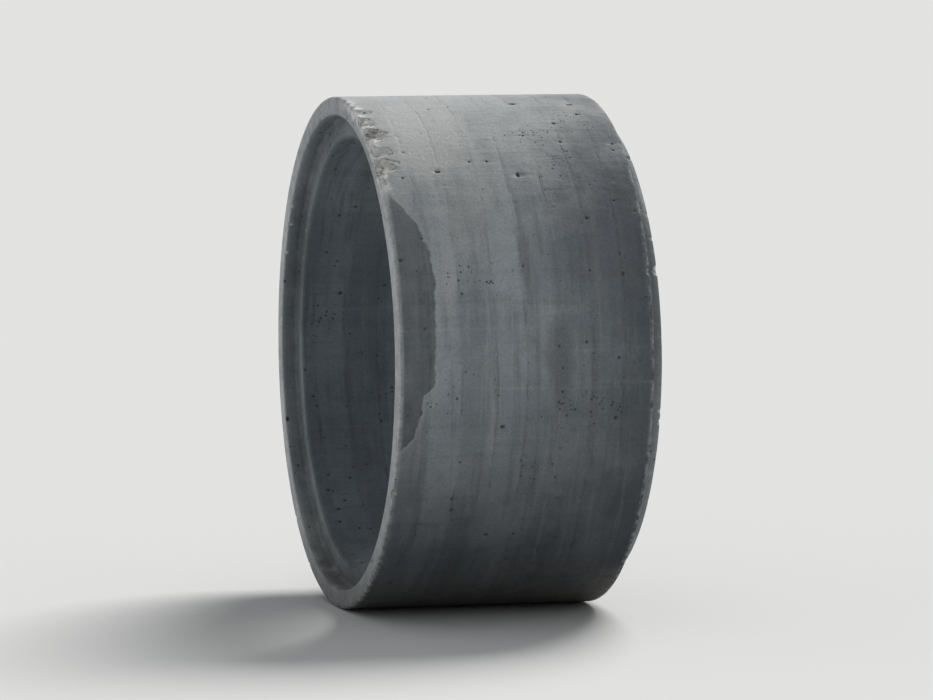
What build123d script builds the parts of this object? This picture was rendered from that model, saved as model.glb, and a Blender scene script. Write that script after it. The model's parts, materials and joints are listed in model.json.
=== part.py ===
from build123d import *
import os

# A short precast concrete culvert pipe: a plain round barrel, cast in one pour, with a rebated joint.
# It lies on its side on the ground, with its axis along X.
# The socket end, which has the groove, faces -X, and the spigot end, which has the tongue, faces +X.
# The origin is on the ground, under the middle of the overall length. All sizes are in millimetres.

# Driving dimensions of the barrel
bore_diameter = 1000.0
wall = 100.0
laying_length = 600.0  # what one pipe adds to a run: from the socket's lip to the outer shoulder

# Driving dimensions of the rebated joint
lip_thickness = 48.0  # of the socket's outer lip, measured in from the barrel's outside
groove_depth = 38.0
joint_gap = 3.0  # radial gap between tongue and groove, left for the mortar or sealing strip
nose_gap = 4.0  # end gap between the tongue's nose and the groove's floor
lead_length = 10.0  # of the slope that guides one pipe into the next
lead_rise = 4.0

# Edges as the mould leaves them
arris_radius = 8.0  # the barrel's two outer edges
mouth_radius = 4.0  # where the lip's face meets the groove
root_cove = 6.0  # the sloped fill in the inside corners of groove and tongue
bore_chamfer = 6.0  # the two edges of the bore

# Sizes that follow from them
bore_radius = bore_diameter / 2
barrel_radius = bore_radius + wall
groove_radius = barrel_radius - lip_thickness
tongue_radius = groove_radius - joint_gap
tongue_length = groove_depth - nose_gap
overall_length = laying_length + tongue_length

socket_face = -overall_length / 2
groove_floor = socket_face + groove_depth
shoulder = socket_face + laying_length
tongue_nose = overall_length / 2

section_plane = Plane(origin=(0, 0, barrel_radius), x_dir=(1, 0, 0), z_dir=(0, -1, 0))
pipe_axis = Axis((0, 0, barrel_radius), (1, 0, 0))


def ring_edge(edges, x, radius):
    """The one round edge that lies at this place along the pipe and has this radius."""
    round_edges = edges.filter_by(GeomType.CIRCLE)
    return round_edges.sort_by(lambda edge: abs(edge.arc_center.X - x) + abs(edge.radius - radius))[0]


# The wall's section, turned about the pipe's axis. The joint's two slopes are in the section.
with BuildPart() as pipe:
    with BuildSketch(section_plane):
        with BuildLine():
            Polyline(
                (socket_face, barrel_radius),
                (shoulder, barrel_radius),
                (shoulder, tongue_radius),
                (tongue_nose - lead_length, tongue_radius),
                (tongue_nose, tongue_radius - lead_rise),
                (tongue_nose, bore_radius),
                (groove_floor, bore_radius),
                (groove_floor, groove_radius),
                (socket_face + lead_length, groove_radius),
                (socket_face, groove_radius + lead_rise),
                close=True,
            )
        make_face()
    revolve(axis=pipe_axis)

    # The two inside corners of the joint
    chamfer(ring_edge(pipe.edges(), groove_floor, groove_radius), root_cove)
    chamfer(ring_edge(pipe.edges(), shoulder, tongue_radius), root_cove)

    # The outside edges of barrel, lip and tongue
    fillet(ring_edge(pipe.edges(), socket_face, barrel_radius), arris_radius)
    fillet(ring_edge(pipe.edges(), shoulder, barrel_radius), arris_radius)
    fillet(ring_edge(pipe.edges(), socket_face, groove_radius + lead_rise), mouth_radius)
    fillet(ring_edge(pipe.edges(), tongue_nose, tongue_radius - lead_rise), mouth_radius)

    # The two ends of the bore
    chamfer(ring_edge(pipe.edges(), groove_floor, bore_radius), bore_chamfer)
    chamfer(ring_edge(pipe.edges(), tongue_nose, bore_radius), bore_chamfer)

pipe.part.label = "pipe"

os.makedirs("parts", exist_ok=True)
export_step(pipe.part, "parts/pipe.step")
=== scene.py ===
import json
import math
from itertools import product

import bpy
import numpy as np
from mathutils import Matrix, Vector


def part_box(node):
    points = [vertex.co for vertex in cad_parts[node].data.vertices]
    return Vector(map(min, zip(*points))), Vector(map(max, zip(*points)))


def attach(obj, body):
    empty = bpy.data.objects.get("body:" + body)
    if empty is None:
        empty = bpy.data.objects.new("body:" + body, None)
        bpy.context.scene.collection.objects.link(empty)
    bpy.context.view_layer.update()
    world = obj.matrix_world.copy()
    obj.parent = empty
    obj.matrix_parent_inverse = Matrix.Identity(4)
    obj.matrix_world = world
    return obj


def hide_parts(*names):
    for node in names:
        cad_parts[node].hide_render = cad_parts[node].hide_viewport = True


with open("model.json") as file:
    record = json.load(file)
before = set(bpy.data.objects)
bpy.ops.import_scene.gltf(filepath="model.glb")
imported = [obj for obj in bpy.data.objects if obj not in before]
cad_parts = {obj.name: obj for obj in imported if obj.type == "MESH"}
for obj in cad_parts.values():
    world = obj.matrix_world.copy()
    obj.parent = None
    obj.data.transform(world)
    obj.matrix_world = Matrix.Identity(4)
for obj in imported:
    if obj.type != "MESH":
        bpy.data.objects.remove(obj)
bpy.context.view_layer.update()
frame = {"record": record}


# The pipe is one piece of precast concrete with a 1 m bore. It is cast standing on end: an earth-dry
# mix is vibrated, layer on layer, between a steel core and jacket that are drawn off while it is green.
# That leaves soft rings where the layers meet, drag marks along the barrel, and small open pores.

low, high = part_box("pipe")
mounts = {mount["name"]: mount for mount in frame["record"]["mounts"]}


def radius_of(name):
    """The radius of one of the pipe's round surfaces, as its mount gives it."""
    return mounts[name]["dims"]["r_mm"] / 1000


# Sizes of the wall's section, in metres
bevel = 0.006  # of the bore's edges and of the joint's inside corners
lead_length = 0.010
lead_rise = 0.004
bore_radius = radius_of("bore")
groove_radius = radius_of("socket")
tongue_radius = radius_of("spigot")
barrel_radius = radius_of("barrel")
axis_height = mounts["bore"]["pos_m"][2]
socket_face = low.x
tongue_nose = high.x
shoulder = mounts["shoulder_face"]["pos_m"][0]
plain_bore = mounts["bore"]["dims"]["length_mm"] / 1000  # between its two bevels
groove_floor = mounts["bore"]["pos_m"][0] - plain_bore / 2 - bevel

# How far each kind of corner is rounded
arris_round = 0.008
mouth_round = 0.004
lead_round = 0.003
bevel_round = 0.0025
cove_round = 0.002

# The wall's corners, going round it: place along the pipe, radius, and rounding
wall_corners = [
    (socket_face, barrel_radius, arris_round),
    (shoulder, barrel_radius, arris_round),
    (shoulder, tongue_radius + bevel, cove_round),
    (shoulder + bevel, tongue_radius, cove_round),
    (tongue_nose - lead_length, tongue_radius, lead_round),
    (tongue_nose, tongue_radius - lead_rise, mouth_round),
    (tongue_nose, bore_radius + bevel, bevel_round),
    (tongue_nose - bevel, bore_radius, bevel_round),
    (groove_floor + bevel, bore_radius, bevel_round),
    (groove_floor, bore_radius + bevel, bevel_round),
    (groove_floor, groove_radius - bevel, cove_round),
    (groove_floor - bevel, groove_radius, cove_round),
    (socket_face + lead_length, groove_radius, lead_round),
    (socket_face, groove_radius + lead_rise, mouth_round),
]

# How finely the surface is worked before it is thinned out, and how many triangles are left
columns = 1440
row_step = 0.0026
most_triangles = 190_000


def rounded_section(corners, step):
    """The closed outline through these corners as short steps, each corner eased by its rounding."""
    places = [np.array(corner[:2]) for corner in corners]
    cuts = []
    for number, place in enumerate(places):
        rounding = corners[number][2]
        back = places[number - 1] - place
        ahead = places[(number + 1) % len(places)] - place
        start = place + rounding * back / np.linalg.norm(back)
        end = place + rounding * ahead / np.linalg.norm(ahead)
        cuts.append((start, place, end))
    points_per_corner = 5
    share = np.linspace(0, 1, points_per_corner)[:, None]
    outline = []
    for number, (start, place, end) in enumerate(cuts):
        outline.append((1 - share) ** 2 * start + 2 * share * (1 - share) * place + share**2 * end)
        following = cuts[(number + 1) % len(cuts)][0]
        pieces = max(1, math.ceil(np.linalg.norm(following - end) / step))
        outline.append(end + (following - end) * (np.arange(1, pieces) / pieces)[:, None])
    return np.vstack(outline)


section = rounded_section(wall_corners, row_step)
heading = np.roll(section, -1, 0) - np.roll(section, 1, 0)
heading /= np.linalg.norm(heading, axis=1)[:, None]
outward = np.stack([-heading[:, 1], heading[:, 0]], 1)
along_wall = np.concatenate([[0], np.cumsum(np.linalg.norm(np.diff(section, axis=0), axis=1))])

# Round the pipe, the angle is 0 at the top and grows towards the side that faces the camera.
clock = np.linspace(-math.pi, math.pi, columns, endpoint=False)
x = np.repeat(section[:, :1], columns, 1)
r = np.repeat(section[:, 1:], columns, 1)


def in_space(x, r):
    """Points of the pipe in the shared frame, from places along it and radii, one column per angle."""
    return np.stack([x, -r * np.sin(clock), axis_height + r * np.cos(clock)], -1)


def turned_from(angle):
    """How far each angle of the grid is turned from this one, the short way round."""
    return (clock - angle + math.pi) % (2 * math.pi) - math.pi


def cloud(place, size, seed):
    """Smooth random values from -1 to 1 that change over this size, the same on every run."""
    last = 255  # of the table of random values
    shuffled = np.random.default_rng(seed).permutation(last + 1)
    value = np.random.default_rng(seed + 1).uniform(-1, 1, last + 1)
    cell = np.floor(place / size).astype(int)
    part = place / size - cell
    part = part * part * (3 - 2 * part)
    total = 0
    for step in product((0, 1), repeat=3):
        weight = np.prod(np.where(step, part, 1 - part), axis=-1)
        i, j, k = np.moveaxis(cell + step, -1, 0) & last
        total = total + weight * value[shuffled[(shuffled[(shuffled[i] + j) & last] + k) & last]]
    return total


# The mould's own unevenness: nowhere does it stand proud of the nominal surface.
broad_waves = 0.0008
small_waves = 0.0003
surface = in_space(x, r)
unevenness = broad_waves * (cloud(surface, 0.26, 1) - 1) + small_waves * (cloud(surface, 0.06, 3) - 1)

# Where one cast layer meets the next, a soft broken furrow runs round the barrel and the bore.
layer_joints = [-0.243, -0.170, -0.088, -0.016, 0.061, 0.139, 0.214]
furrow_half_width = 0.003
furrow_depth = 0.0012
slack = 0.001
drift = 0.004 * cloud(surface * (0.3, 1, 1), 0.22, 5) + 0.0015 * cloud(surface, 0.03, 6)
strength = np.clip(1.3 * cloud(surface, 0.10, 7) + 0.25, 0, 1)
furrow = sum(np.exp(-(((x - joint + drift) / furrow_half_width) ** 2)) for joint in layer_joints)
on_barrel = r > barrel_radius - slack
on_bore = r < bore_radius + slack
unevenness -= furrow_depth * strength * furrow * (on_barrel | on_bore)

# Air holes and open pores: how far each point has sunk below the surface. Many lie by the layer joints.
pore_count = 1700
pore_radius = 0.0021  # of a middling one
pore_spread = 0.45
share_by_joints = 0.4
scatter_by_joints = 0.007
margin = 1.6  # how far beyond its radius a pore's stretch can reach
sunk = np.zeros_like(x)
chance = np.random.default_rng(11)
for _ in range(pore_count):
    row = chance.integers(len(section))
    if chance.random() < share_by_joints and (on_barrel | on_bore)[row, 0]:
        beside_joint = chance.choice(layer_joints) + chance.normal(0, scatter_by_joints)
        same_side = np.flatnonzero(on_barrel[:, 0] if on_barrel[row, 0] else on_bore[:, 0])
        row = same_side[np.argmin(np.abs(section[same_side, 0] - beside_joint))]
    column = chance.integers(columns)
    size = pore_radius * math.exp(chance.normal(0, pore_spread))
    depth = size * chance.uniform(0.6, 1.2)
    stretch = chance.uniform(0.7, 1.4)
    reach = 1 + int(size * stretch * margin / row_step)
    rows = np.arange(row - reach, row + reach + 1) % len(section)
    reach = 1 + int(size * margin / (2 * math.pi * section[row, 1] / columns))
    near = np.arange(column - reach, column + reach + 1) % columns
    across = turned_from(clock[column])[near] * section[row, 1] / size
    up = (along_wall[rows] - along_wall[row]) / (size * stretch)
    hole = np.clip(1 - across[None, :] ** 2 - up[:, None] ** 2, 0, None) ** 0.5 * depth
    window = np.ix_(rows, near)
    sunk[window] = np.maximum(sunk[window], hole)

x = x + outward[:, :1] * (unevenness - sunk)
r = r + outward[:, 1:] * (unevenness - sunk)

# From this depth on, a hole has the full painted shade of a hole and a break the full colour of a break.
full_colour_depth = 0.0015
hollow = np.clip(sunk / full_colour_depth, 0, 1)
fresh = np.zeros_like(x)


def chance_knocks(count, length, depth, seed):
    """Knocks spread round an arris by chance, none deeper than a quarter of its length."""
    chance = np.random.default_rng(seed)
    spread = 0.5
    lengths = length * np.exp(chance.normal(0, spread, count))
    depths = np.minimum(depth * np.exp(chance.normal(0, spread, count)), lengths / 4)
    return list(zip(chance.uniform(-180, 180, count), lengths, depths))


def break_arris(corner, into, knocks, seed, bare=0.5):
    """Breaks an arris back by these knocks, leaving a rough floor, new and bare or less so."""
    corner_x, corner_r = corner
    broken = np.zeros(columns)
    for degrees, length, depth in knocks:
        from_middle = turned_from(math.radians(degrees)) * barrel_radius * 2 / length
        broken = np.maximum(broken, depth * (1 - from_middle**2))

    # The part of the wall that the knocks can reach: in from the corner, and to either side of it
    furthest_out, furthest_in, furthest_aside = -0.002, 0.035, 0.075
    into_x, into_r = np.array(into) / np.linalg.norm(into)
    deep = (x - corner_x) * into_x + (r - corner_r) * into_r
    aside = (x - corner_x) * -into_r + (r - corner_r) * into_x
    reached = (deep > furthest_out) & (deep < furthest_in) & (np.abs(aside) < furthest_aside)
    rows = np.flatnonzero(reached[:, 0])
    deep = np.maximum(deep[rows], 0)
    spot = in_space(x[rows], r[rows])

    # The floor of a knock tilts from place to place and is rough. Beside the knocks it is only scuffed.
    tilting_width = 0.014
    most_uneven = 0.6 * broken
    corner_line = in_space(np.full_like(deep, corner_x), np.full_like(deep, corner_r))
    tilt = 0.45 * cloud(corner_line, 0.045, seed + 4)
    tilted = tilt * np.clip(aside[rows], -tilting_width, tilting_width)
    rough = 0.0028 * cloud(spot, 0.014, seed) + 0.0018 * cloud(spot, 0.0065, seed + 2)
    scuffed = 0.0017 * cloud(spot, 0.03, seed + 6) + 0.0012 * cloud(spot, 0.011, seed + 8)
    uneven = np.clip(rough + tilted, -most_uneven, most_uneven)
    knocked = broken * (1 + 0.3 * cloud(spot, 0.02, seed + 10)) + uneven
    shift = np.clip(np.maximum(knocked, scuffed) - deep, 0, None)
    x[rows] += shift * into_x
    r[rows] += shift * into_r
    fresh[rows] = np.maximum(fresh[rows], bare * np.clip(shift / full_colour_depth, 0, 1))


# The socket's outer arris has been knocked about from the top to half past one, where flakes have
# come off the barrel too. The other arrises have only lost a few crumbs each. A knock is its place
# in degrees, its length along the arris, and its depth.
socket_arris = (socket_face, barrel_radius)
lip_knocks = [(-3, 0.022, 0.005), (2, 0.030, 0.007), (5, 0.024, 0.006), (8, 0.036, 0.009)]
lip_knocks += [(11.5, 0.026, 0.007), (14.5, 0.032, 0.008), (29, 0.040, 0.010), (39, 0.034, 0.009)]
lip_knocks += [(48, 0.026, 0.005), (118, 0.036, 0.007)]
flakes = [(18, 0.046, 0.009), (23.5, 0.064, 0.014), (30, 0.084, 0.018), (35.5, 0.056, 0.013)]
flakes += [(41, 0.074, 0.017), (45.5, 0.044, 0.010)]
lip_knocks += chance_knocks(26, 0.015, 0.0034, seed=21)
break_arris(socket_arris, (1, -1), lip_knocks, seed=31, bare=0.9)
break_arris(socket_arris, (0.32, -1), flakes, seed=91, bare=1.0)
shoulder_arris = (shoulder, barrel_radius)
break_arris(shoulder_arris, (-1, -1), chance_knocks(26, 0.022, 0.0036, seed=22), seed=41, bare=0.45)
groove_mouth = (socket_face, groove_radius + lead_rise)
break_arris(groove_mouth, (1, 1.4), chance_knocks(20, 0.014, 0.0025, seed=23), seed=51)
tongue_edge = (tongue_nose, tongue_radius - lead_rise)
break_arris(tongue_edge, (-1, -1.3), chance_knocks(26, 0.020, 0.0036, seed=24), seed=61)
groove_floor_edge = (groove_floor, bore_radius + bevel / 2)
break_arris(groove_floor_edge, (1, 1), chance_knocks(9, 0.014, 0.0024, seed=25), seed=71, bare=0.42)
tongue_bore_edge = (tongue_nose, bore_radius + bevel / 2)
break_arris(tongue_bore_edge, (-1, 1), chance_knocks(16, 0.015, 0.0030, seed=26), seed=81)

# The mesh: the section's points joined round the pipe in squares, then thinned out where it is plain
point = np.arange(x.size).reshape(x.shape)
beside = np.roll(point, -1, 1)
quads = np.stack([point, beside, np.roll(beside, -1, 0), np.roll(point, -1, 0)], -1).reshape(-1, 4)
skin = bpy.data.meshes.new("pipe_skin")
skin.from_pydata(in_space(x, r).reshape(-1, 3), [], quads)
for name, values in (("fresh", fresh), ("hollow", hollow)):
    per_point = skin.attributes.new(name, "FLOAT", "POINT").data
    per_point.foreach_set("value", values.ravel().astype(np.float32))
pipe = bpy.data.objects.new("concrete_pipe", skin)
bpy.context.collection.objects.link(pipe)
thinned = pipe.modifiers.new("thinned", "DECIMATE")
thinned.ratio = min(1, most_triangles / (2 * len(quads)))
as_thinned = pipe.evaluated_get(bpy.context.evaluated_depsgraph_get())
pipe.data = bpy.data.meshes.new_from_object(as_thinned)
pipe.modifiers.clear()
pipe.data.shade_smooth()

# The concrete: mid-grey paste full of sand, lighter and darker from layer to layer, dusty on top,
# damp by the rim on the side that shows, splashed near the ground, with gravel where it is broken.
concrete = bpy.data.materials.new("weathered_concrete")
concrete.use_nodes = True
tree = concrete.node_tree
shader = tree.nodes["Principled BSDF"]


def fitted(kind, inputs, **settings):
    """A new node in the tree at hand with these settings, its inputs set or joined up."""
    node = tree.nodes.new(kind)
    for name, value in settings.items():
        setattr(node, name, value)
    for name, value in inputs.items():
        if isinstance(value, bpy.types.NodeSocket):
            tree.links.new(value, node.inputs[name])
        else:
            node.inputs[name].default_value = value
    return node


def reckoned(operation, *terms):
    """A value worked out from others, point by point."""
    return fitted("ShaderNodeMath", dict(enumerate(terms)), operation=operation).outputs[0]


def times(value, share):
    """One value times another."""
    return reckoned("MULTIPLY", value, share)


def plus(base, more, amount):
    """A value with this amount of another added."""
    return reckoned("MULTIPLY_ADD", more, amount, base)


def minus(value, less):
    """One value less another."""
    return reckoned("SUBTRACT", value, less)


def patches(per_metre, detail=4.0, rough=0.5, stretch=(1, 1, 1), warp=0.0):
    """Cloudy patches, so many to the metre, from 0 to 1 with most near the middle."""
    stretched = fitted("ShaderNodeMapping", {"Vector": position, "Scale": stretch}).outputs[0]
    inputs = {"Vector": stretched, "Scale": per_metre, "Detail": detail}
    inputs |= {"Roughness": rough, "Distortion": warp}
    return fitted("ShaderNodeTexNoise", inputs).outputs[0]


def between(value, start, end, ease="SMOOTHSTEP"):
    """0 up to the start, 1 from the end on, and a change between them that is soft unless it is LINEAR."""
    inputs = {"Value": value, "From Min": start, "From Max": end}
    return fitted("ShaderNodeMapRange", inputs, interpolation_type=ease).outputs[0]


def banded(value, bands, ease="LINEAR"):
    """A shade that follows a value from 0 to 1 through these bands, each its place and grey or colour."""
    ramp = fitted("ShaderNodeValToRGB", {"Fac": value})
    ramp.color_ramp.interpolation = ease
    stops = ramp.color_ramp.elements
    stops.remove(stops[1])
    for number, (place, shade) in enumerate(bands):
        stop = stops.new(place) if number else stops[0]
        stop.position = place
        stop.color = shade if isinstance(shade, tuple) else (shade, shade, shade, 1)
    return ramp.outputs[0]


def laid_over(base, over, cover, strength=1.0, how="MIX"):
    """One colour over another where it covers it, at this strength."""
    if strength != 1:
        cover = times(cover, strength)
    node = tree.nodes.new("ShaderNodeMix")
    node.data_type = "RGBA"
    node.blend_type = how
    factor, under, above = 0, 6, 7  # the inputs that a mix of colours has
    for index, value in ((factor, cover), (under, base), (above, over)):
        if isinstance(value, bpy.types.NodeSocket):
            tree.links.new(value, node.inputs[index])
        else:
            node.inputs[index].default_value = value
    return node.outputs[2]


def darkened(base, shade, cover, strength=1.0):
    """A colour multiplied by a shade where that covers it, at this strength."""
    return laid_over(base, shade, cover, strength, "MULTIPLY")


def tone(red, green, blue):
    """A colour as a colour card gives it, from 0 to 255."""
    return (*(((level / 255 + 0.055) / 1.055) ** 2.4 for level in (red, green, blue)), 1)


def ring_distance(along, radius):
    """How far a point of the surface is from the ring at this place along the pipe, with this radius."""
    lengthways = reckoned("ABSOLUTE", minus(place_x, along))
    return reckoned("ADD", lengthways, reckoned("ABSOLUTE", minus(from_axis, radius)))


# Where a point of the surface is: its angle is 0 at the top and grows towards the viewer's side
position = fitted("ShaderNodeTexCoord", {}).outputs["Object"]
place_x, place_y, place_z = fitted("ShaderNodeSeparateXYZ", {"Vector": position}).outputs
above_axis = minus(place_z, axis_height)
towards_viewer = times(place_y, -1.0)
angle = reckoned("ARCTAN2", towards_viewer, above_axis)
squared = reckoned("ADD", reckoned("POWER", above_axis, 2.0), reckoned("POWER", place_y, 2.0))
from_axis = reckoned("POWER", squared, 0.5)
in_bore = between(from_axis, bore_radius + 0.012, bore_radius + 0.004)
in_groove = between(from_axis, groove_radius + 0.010, groove_radius + 0.002)
in_groove = times(in_groove, between(place_x, groove_floor + 0.012, groove_floor + 0.006))
outside = between(from_axis, barrel_radius - 0.014, barrel_radius - 0.006)
on_lip = between(place_x, socket_face + 0.006, socket_face + 0.002)
from_socket_arris = ring_distance(*socket_arris)
facing = fitted("ShaderNodeNewGeometry", {}).outputs["Normal"]
facing_up = fitted("ShaderNodeSeparateXYZ", {"Vector": facing}).outputs[2]
is_fresh = fitted("ShaderNodeAttribute", {}, attribute_name="fresh").outputs["Fac"]
is_hollow = fitted("ShaderNodeAttribute", {}, attribute_name="hollow").outputs["Fac"]

# Paste with broad clouding
dark_paste = tone(126, 133, 138)
pale_paste = tone(152, 158, 162)
clouded_paste = tone(122, 125, 128)
clouding = between(patches(4.5, detail=7, rough=0.62, warp=0.3), 0.3, 0.7)
small_clouding = between(patches(26, detail=5, rough=0.6), 0.5, 0.75)
colour = laid_over(dark_paste, pale_paste, clouding)
colour = laid_over(colour, clouded_paste, small_clouding, strength=0.4)

# Each cast layer has its own tone, and the joints between them wander a little and are darker here
# and there. Places along the pipe are from 0 to 1 here, as the bands have them.
layer_place = plus(minus(place_x, 0.015), patches(4, detail=3), 0.03)
layer_place = plus(layer_place, patches(40, detail=2), 0.006)
layer_place = between(layer_place, low.x, high.x, "LINEAR")
joints = [(joint - low.x) / (high.x - low.x) for joint in layer_joints]
layer_tones = [0.97, 1.18, 0.98, 1.12, 0.98, 0.86, 0.83, 0.71]
half_blend = 0.012
paling = 1.04  # from a layer's start to its end
layer_bands = []
for start, end, level in zip([0, *joints], [*joints, 1], layer_tones):
    layer_bands += [(start + half_blend, level), (end - half_blend, level * paling)]
colour = darkened(colour, banded(layer_place, layer_bands), 0.9)
joint_shade = tone(92, 94, 96)
dark_before = 0.009
dark_after = 0.006
joint_lines = [(0, 0)]
for joint in joints:
    joint_lines += [(joint - dark_before, 0), (joint, 1), (joint + dark_after, 0)]
joint_shows = between(patches(11, detail=5, rough=0.65), 0.42, 0.66)
joint_line = times(banded(layer_place, joint_lines), joint_shows)
colour = laid_over(colour, joint_shade, joint_line, strength=0.5)

# Drag marks along the pipe, and marks where rain has run down round it
dark_drag = tone(112, 115, 118)
pale_drag = tone(184, 185, 184)
dark_run = tone(104, 107, 110)
pale_run = tone(176, 178, 179)
drags = patches(1, detail=5, rough=0.6, stretch=(2.2, 46, 46))
runs = patches(1, detail=6, rough=0.62, stretch=(34, 2.4, 2.4), warp=0.15)
colour = laid_over(colour, dark_drag, between(drags, 0.52, 0.75), strength=0.32)
colour = laid_over(colour, pale_drag, between(drags, 0.44, 0.26), strength=0.2)
colour = laid_over(colour, dark_run, between(runs, 0.5, 0.72), strength=0.55)
colour = laid_over(colour, pale_run, between(runs, 0.46, 0.3), strength=0.4)

# Places of another tone on the side that shows, each its place along the pipe, angle, half length,
# half angle and tone: darker high up by the spigot and just above the middle, paler on the upper
# barrel by the rim and beside the damp patch. Rain has drawn them out.
places = (
    (0.20, 52, 0.11, 26, tone(122, 126, 130)),
    (0.058, 88, 0.036, 10, tone(100, 104, 108)),
    (-0.19, 30, 0.13, 19, tone(196, 196, 192)),
    (-0.198, 70, 0.028, 9, tone(170, 173, 175)),
)
for along, degrees, half_length, half_degrees, shade in places:
    lengthways = reckoned("DIVIDE", minus(place_x, along), half_length)
    round_it = reckoned("DIVIDE", minus(angle, math.radians(degrees)), math.radians(half_degrees))
    away = reckoned("ADD", reckoned("POWER", lengthways, 2.0), reckoned("POWER", round_it, 2.0))
    away = plus(away, patches(20, detail=6, rough=0.65), 1.4)
    away = plus(away, runs, 1.8)
    covered = times(between(away, 2.9, 1.5), outside)
    colour = laid_over(colour, shade, covered, strength=0.62)

# The barrel darkens towards the spigot end.
spigot_end_shade = tone(189, 192, 196)
by_spigot = between(plus(minus(place_x, 0.06), runs, 0.12), -0.06, 0.30, "LINEAR")
colour = darkened(colour, spigot_end_shade, times(by_spigot, outside))

# Dust that has settled on top, painted shade on the partly damp underside, and soil splashed up from the
# ground
dust = tone(184, 185, 183)
underside_painted_shade = tone(137, 139, 142)
soil = tone(90, 87, 82)
dusty = plus(facing_up, place_x, -0.7)
dusty = between(plus(dusty, patches(7, detail=7, rough=0.68), 1.3), 1.02, 1.75)
colour = laid_over(colour, dust, times(dusty, plus(0.65, in_bore, -0.45)))
# The barrel darkens towards the ground: painted shade, and partly a damp underside.
painted_shade_below = times(between(plus(place_z, patches(6, detail=5), -0.25), 0.56, -0.06), outside)
colour = darkened(colour, underside_painted_shade, painted_shade_below, strength=0.92)
splashed = between(plus(place_z, patches(20, detail=7, rough=0.68), -0.26), 0.02, -0.10)
colour = laid_over(colour, soil, splashed, strength=0.6)

# The damp patch by the socket's rim, on the side that shows: widest just above the middle. Its
# widths are shares of the widest, from its top, 0, to its foot, 1. A faint tide mark runs round it.
damp_shade = tone(148, 151, 154)
tide_mark = tone(182, 184, 184)
damp_top = math.radians(47)
damp_foot = math.radians(108)
widest_damp = 0.090
damp_widths = [(0, 0), (0.06, 0.24), (0.11, 0.48), (0.17, 0.74), (0.27, 0.93), (0.38, 1.0)]
damp_widths += [(0.51, 0.93), (0.754, 0.89), (0.786, 0.60), (0.883, 0.53), (0.94, 0.36), (1, 0)]
damp_width = times(banded(between(angle, damp_top, damp_foot, "LINEAR"), damp_widths), widest_damp)
from_rim = minus(place_x, socket_face + 0.006)
ragged = plus(minus(from_rim, 0.013), patches(30, detail=6, rough=0.62), 0.026)
inside = minus(damp_width, ragged)
on_side = times(outside, between(towards_viewer, 0.3, 0.4))
damp = times(between(inside, 0.0, 0.005), times(between(from_rim, -0.001, 0.010), on_side))
tide = times(between(inside, -0.012, 0.0), times(between(inside, 0.006, 0.0), on_side))
colour = darkened(colour, damp_shade, times(damp, plus(0.55, patches(22, detail=5), 0.4)))
colour = laid_over(colour, tide_mark, tide, strength=0.16)

# Dirt and painted shade lie in the joint's inside corners; along the barrel's arrises, pale scuffs and
# painted highlight
corner_dirt_and_shade = tone(82, 83, 82)
scuffed_and_highlit_paste = tone(190, 191, 190)
groove_corner = ring_distance(groove_floor, groove_radius)
inside_corner = reckoned("MINIMUM", groove_corner, ring_distance(shoulder, tongue_radius))
where_dirt_and_shade_lie = between(patches(16, detail=6, rough=0.65), 0.25, 0.65)
# Painted shade, together with dirt, darkens the joint's inside corners.
dirty_and_shaded = times(between(inside_corner, 0.030, 0.004), where_dirt_and_shade_lie)
colour = laid_over(colour, corner_dirt_and_shade, dirty_and_shaded, strength=0.55)
# The arrises are paler: scuffed paste, and a painted highlight along the edges.
arris = reckoned("MINIMUM", from_socket_arris, ring_distance(*shoulder_arris))
scuffs_and_highlights = between(patches(48, detail=5, rough=0.65), 0.4, 0.6)
scuffed_and_highlit_arris = times(between(arris, 0.016, 0.004), scuffs_and_highlights)
colour = laid_over(colour, scuffed_and_highlit_paste, scuffed_and_highlit_arris, strength=0.45)

# The lip's face is rubbed pale, most of all down its sides and less towards its foot.
rubbed_paste = tone(202, 205, 206)
down_the_side = between(reckoned("ABSOLUTE", angle), 0.5, 1.1)
rubbed = between(patches(24, detail=6, rough=0.7), 0.32, 0.66)
lip_paleness = plus(plus(0.08, down_the_side, 0.36), rubbed, 0.42)
lip_paleness = times(lip_paleness, between(place_z, -0.15, 0.42))
colour = laid_over(colour, rubbed_paste, times(on_lip, lip_paleness))

# Sand grains and grit all over: a few grains darker, a few paler
grains_per_metre = 800.0
grit = patches(170, detail=6, rough=0.72)
sand = fitted("ShaderNodeTexVoronoi", {"Vector": position, "Scale": grains_per_metre}).outputs["Color"]
grain = fitted("ShaderNodeSeparateColor", {"Color": sand}).outputs[0]
speckle = plus(1.27, grit, -0.55)
speckle = plus(speckle, between(grain, 0.80, 0.86), -0.17)
speckle = plus(speckle, between(grain, 0.16, 0.08), 0.15)
colour = darkened(colour, speckle, 1.0)

# The bore, and half as much the groove, is darker than the outside: painted shade inside the pipe.
bore_painted_shade = tone(169, 174, 179)
painted_shade_inside = reckoned("MAXIMUM", in_bore, times(in_groove, 0.5))
colour = darkened(colour, bore_painted_shade, painted_shade_inside, strength=0.94)

# Open pores: pin holes, most of them by the layer joints and in looser places, and larger air holes
pin_hole_painted_shade = tone(56, 58, 60)
air_hole_painted_shade = tone(64, 66, 68)
pins_per_metre = 110.0
pin_cells = fitted("ShaderNodeTexVoronoi", {"Vector": position, "Scale": pins_per_metre}).outputs
pin_pick = fitted("ShaderNodeSeparateColor", {"Color": pin_cells["Color"]}).outputs[1]
open_texture = plus(between(patches(6, detail=4), 0.38, 0.8), joint_line, 0.6)
pin_size = times(between(reckoned("ADD", pin_pick, open_texture), 1.0, 1.75), 0.36)
pin_hole = between(minus(pin_size, pin_cells["Distance"]), 0.0, 0.06)
# Pin holes and air holes are darkened with painted shade, the shade that falls inside them.
colour = laid_over(colour, pin_hole_painted_shade, pin_hole, strength=0.75)
colour = laid_over(colour, air_hole_painted_shade, between(is_hollow, 0.1, 0.9), strength=0.75)

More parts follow.
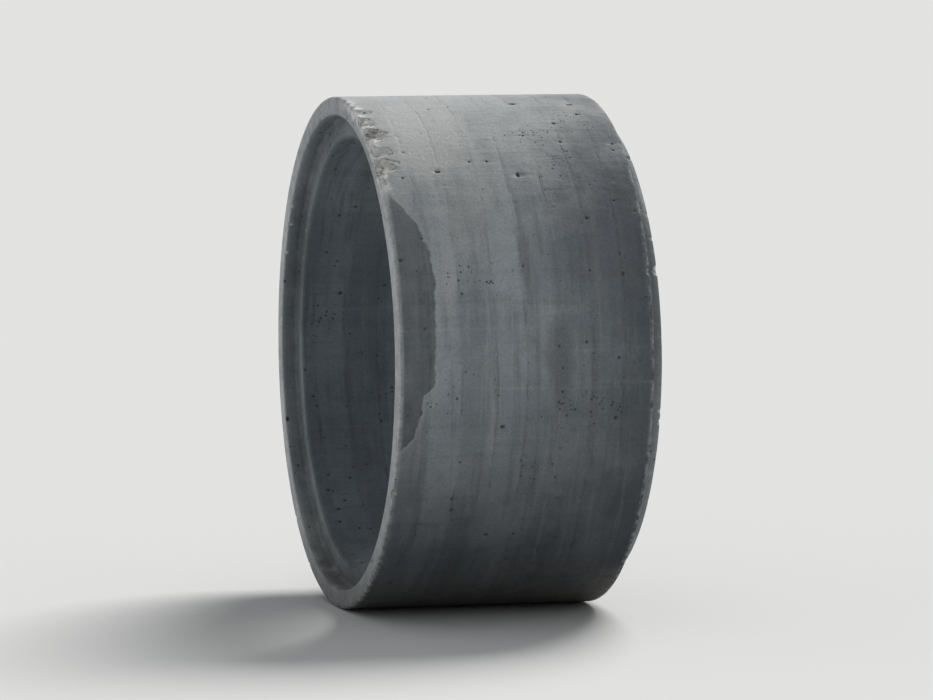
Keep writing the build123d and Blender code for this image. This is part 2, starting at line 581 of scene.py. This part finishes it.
# Where the arrises are broken, angular gravel shows in pale mortar. Each stone has a flat tone, and
# its cell is pushed about a little, so that no edge is straight.
stones_per_metre = 92.0
pushes_per_metre = 85.0
push = (0.013, 0.013, 0.013)
scattering = {"Vector": position, "Scale": pushes_per_metre, "Detail": 4.0}
scatter = fitted("ShaderNodeTexNoise", scattering).outputs["Color"]
pushing = {0: scatter, 1: push, 2: position}
pushed = fitted("ShaderNodeVectorMath", pushing, operation="MULTIPLY_ADD").outputs[0]
stone_cells = {"Vector": pushed, "Scale": stones_per_metre}
stones = fitted("ShaderNodeTexVoronoi", stone_cells).outputs["Color"]
stone_edge = fitted("ShaderNodeTexVoronoi", stone_cells, feature="DISTANCE_TO_EDGE").outputs["Distance"]
stone_tint, stone_pick, stone_height = fitted("ShaderNodeSeparateColor", {"Color": stones}).outputs
stone_tones = [(0, tone(128, 123, 116)), (0.24, tone(172, 167, 158)), (0.46, tone(146, 142, 138))]
stone_tones += [(0.66, tone(156, 158, 158)), (0.82, tone(106, 108, 112))]
stone = times(between(stone_edge, 0.05, 0.12), between(stone_pick, 0.44, 0.50))
mortar = tone(232, 231, 227)
mortar_grit = tone(120, 119, 117)
crumb_hollow_painted_shade = tone(84, 83, 82)
crumbled = patches(130, detail=6, rough=0.7)
broken_colour = laid_over(mortar, banded(stone_tint, stone_tones, "CONSTANT"), stone, strength=0.8)
broken_colour = laid_over(broken_colour, mortar_grit, between(grit, 0.48, 0.72), strength=0.35)
# The low places of the crumbled mortar are darkened with painted shade.
broken_colour = laid_over(broken_colour, crumb_hollow_painted_shade, between(crumbled, 0.44, 0.28), strength=0.6)
is_broken = between(plus(is_fresh, patches(160, detail=3), 0.3), 0.45, 0.8)
colour = laid_over(colour, broken_colour, is_broken, strength=0.9)

# Along the knocked stretch the arris itself is bruised to a pale ragged line.
bruised_paste = tone(238, 238, 235)
knocked_stretch = times(between(angle, 0.02, 0.3), between(angle, 0.90, 0.78))
ragged_arris = plus(from_socket_arris, patches(34, detail=6, rough=0.7), 0.05)
bruised = times(between(ragged_arris, 0.054, 0.036), knocked_stretch)
colour = laid_over(colour, bruised_paste, bruised, strength=0.72)

tree.links.new(colour, shader.inputs["Base Color"])
tree.links.new(plus(plus(0.82, grit, 0.12), damp, -0.22), shader.inputs["Roughness"])
shader.inputs["Specular IOR Level"].default_value = 0.3

# Relief finer than the mesh, with its heights in metres: sand, a rough skin, drag marks, pin holes,
# layer joints, and the gravel and crumbled mortar of the breaks
relief = times(patches(380, detail=4, rough=0.6), 0.0004)
relief = plus(relief, patches(60, detail=5, rough=0.6), 0.0018)
relief = plus(relief, drags, 0.0015)
relief = plus(relief, pin_hole, -0.0012)
relief = plus(relief, joint_line, -0.0010)
stone_relief = times(stone, plus(0.0009, stone_height, 0.0021))
break_relief = plus(stone_relief, crumbled, 0.0080)
relief = plus(relief, break_relief, is_broken)
bump = fitted("ShaderNodeBump", {"Height": relief, "Distance": 1.0, "Strength": 1.0})
tree.links.new(bump.outputs[0], shader.inputs["Normal"])
pipe.data.materials.clear()
pipe.data.materials.append(concrete)

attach(pipe, "root")
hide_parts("pipe")


# The floor is a plain pale studio floor that runs out of sight on all sides. It is no part of the
# pipe, which lies on it.
floor_tone = tone(222, 222, 220)
floor_reach = 150.0
floor_paint = bpy.data.materials.new("pale_floor")
floor_paint.use_nodes = True
tree = floor_paint.node_tree
matt = fitted("ShaderNodeBsdfDiffuse", {"Color": floor_tone}).outputs[0]
tree.links.new(matt, tree.nodes["Material Output"].inputs["Surface"])
floor_mesh = bpy.data.meshes.new("floor")
floor_corners = [(-floor_reach, -floor_reach, 0), (floor_reach, -floor_reach, 0)]
floor_corners += [(floor_reach, floor_reach, 0), (-floor_reach, floor_reach, 0)]
floor_mesh.from_pydata(floor_corners, [], [(0, 1, 2, 3)])
floor_mesh.materials.append(floor_paint)
floor = bpy.data.objects.new("floor", floor_mesh)
bpy.context.collection.objects.link(floor)


# The light is plain soft studio light: one broad lamp, high on the right and behind, and a pale sky
# all round. The sky is seen in the tone that the floor has in this light, so that no horizon shows.
sun_elevation = math.radians(46)
sun_heading = math.radians(42)  # from +Y towards +X
sun_width = math.radians(28)
sun_strength = 3.0
sun_colour = (1.0, 0.99, 0.975)
sky_strength = 0.38
sky_colour = (0.94, 0.97, 1.0)

towards_sun = Vector(
    (
        math.sin(sun_heading) * math.cos(sun_elevation),
        math.cos(sun_heading) * math.cos(sun_elevation),
        math.sin(sun_elevation),
    )
)
sun = bpy.data.objects.new("sun", bpy.data.lights.new("sun", "SUN"))
sun.data.energy = sun_strength
sun.data.angle = sun_width
sun.data.color = sun_colour
sun.rotation_euler = towards_sun.to_track_quat("Z", "Y").to_euler()
bpy.context.collection.objects.link(sun)

sky = bpy.data.worlds.new("sky")
sky.use_nodes = True
bpy.context.scene.world = sky
tree = sky.node_tree
sky_light = tree.nodes["Background"]
sky_light.inputs["Color"].default_value = (*sky_colour, 1)
sky_light.inputs["Strength"].default_value = sky_strength
sun_on_floor = sun_strength * math.sin(sun_elevation) / math.pi
lit_floor = [
    paint * (sun_on_floor * sunlight + sky_strength * skylight)
    for paint, sunlight, skylight in zip(floor_tone, sun.data.color, sky_colour)
]
backdrop = fitted("ShaderNodeBackground", {"Color": (*lit_floor, 1)}).outputs[0]
ray = fitted("ShaderNodeLightPath", {}).outputs
in_gloss_or_glass = reckoned("MAXIMUM", ray["Is Glossy Ray"], ray["Is Transmission Ray"])
seen = reckoned("MAXIMUM", ray["Is Camera Ray"], in_gloss_or_glass)
mixed = fitted("ShaderNodeMixShader", {0: seen, 1: sky_light.outputs[0], 2: backdrop}).outputs[0]
tree.links.new(mixed, tree.nodes["World Output"].inputs["Surface"])


# The camera looks as the photograph does: a little down on the pipe, 15 degrees round towards the
# open end, from about 14 m away, through a lens long enough for the pipe to fill the picture.
camera_azimuth = math.radians(-15)
camera_elevation = math.radians(4.6)
camera_distance = 13.9
camera_lens = 228
furthest_seen = 200
camera = bpy.data.objects.new("camera", bpy.data.cameras.new("camera"))
towards_camera = Vector(
    (
        math.sin(camera_azimuth) * math.cos(camera_elevation),
        -math.cos(camera_azimuth) * math.cos(camera_elevation),
        math.sin(camera_elevation),
    )
)
middle = Vector((0, 0, axis_height))
camera.location = middle + towards_camera * camera_distance
camera.rotation_euler = (-towards_camera).to_track_quat("-Z", "Y").to_euler()
camera.data.lens = camera_lens
camera.data.clip_end = furthest_seen
bpy.context.collection.objects.link(camera)
bpy.context.scene.camera = camera

bpy.context.scene.view_settings.view_transform = "Standard"
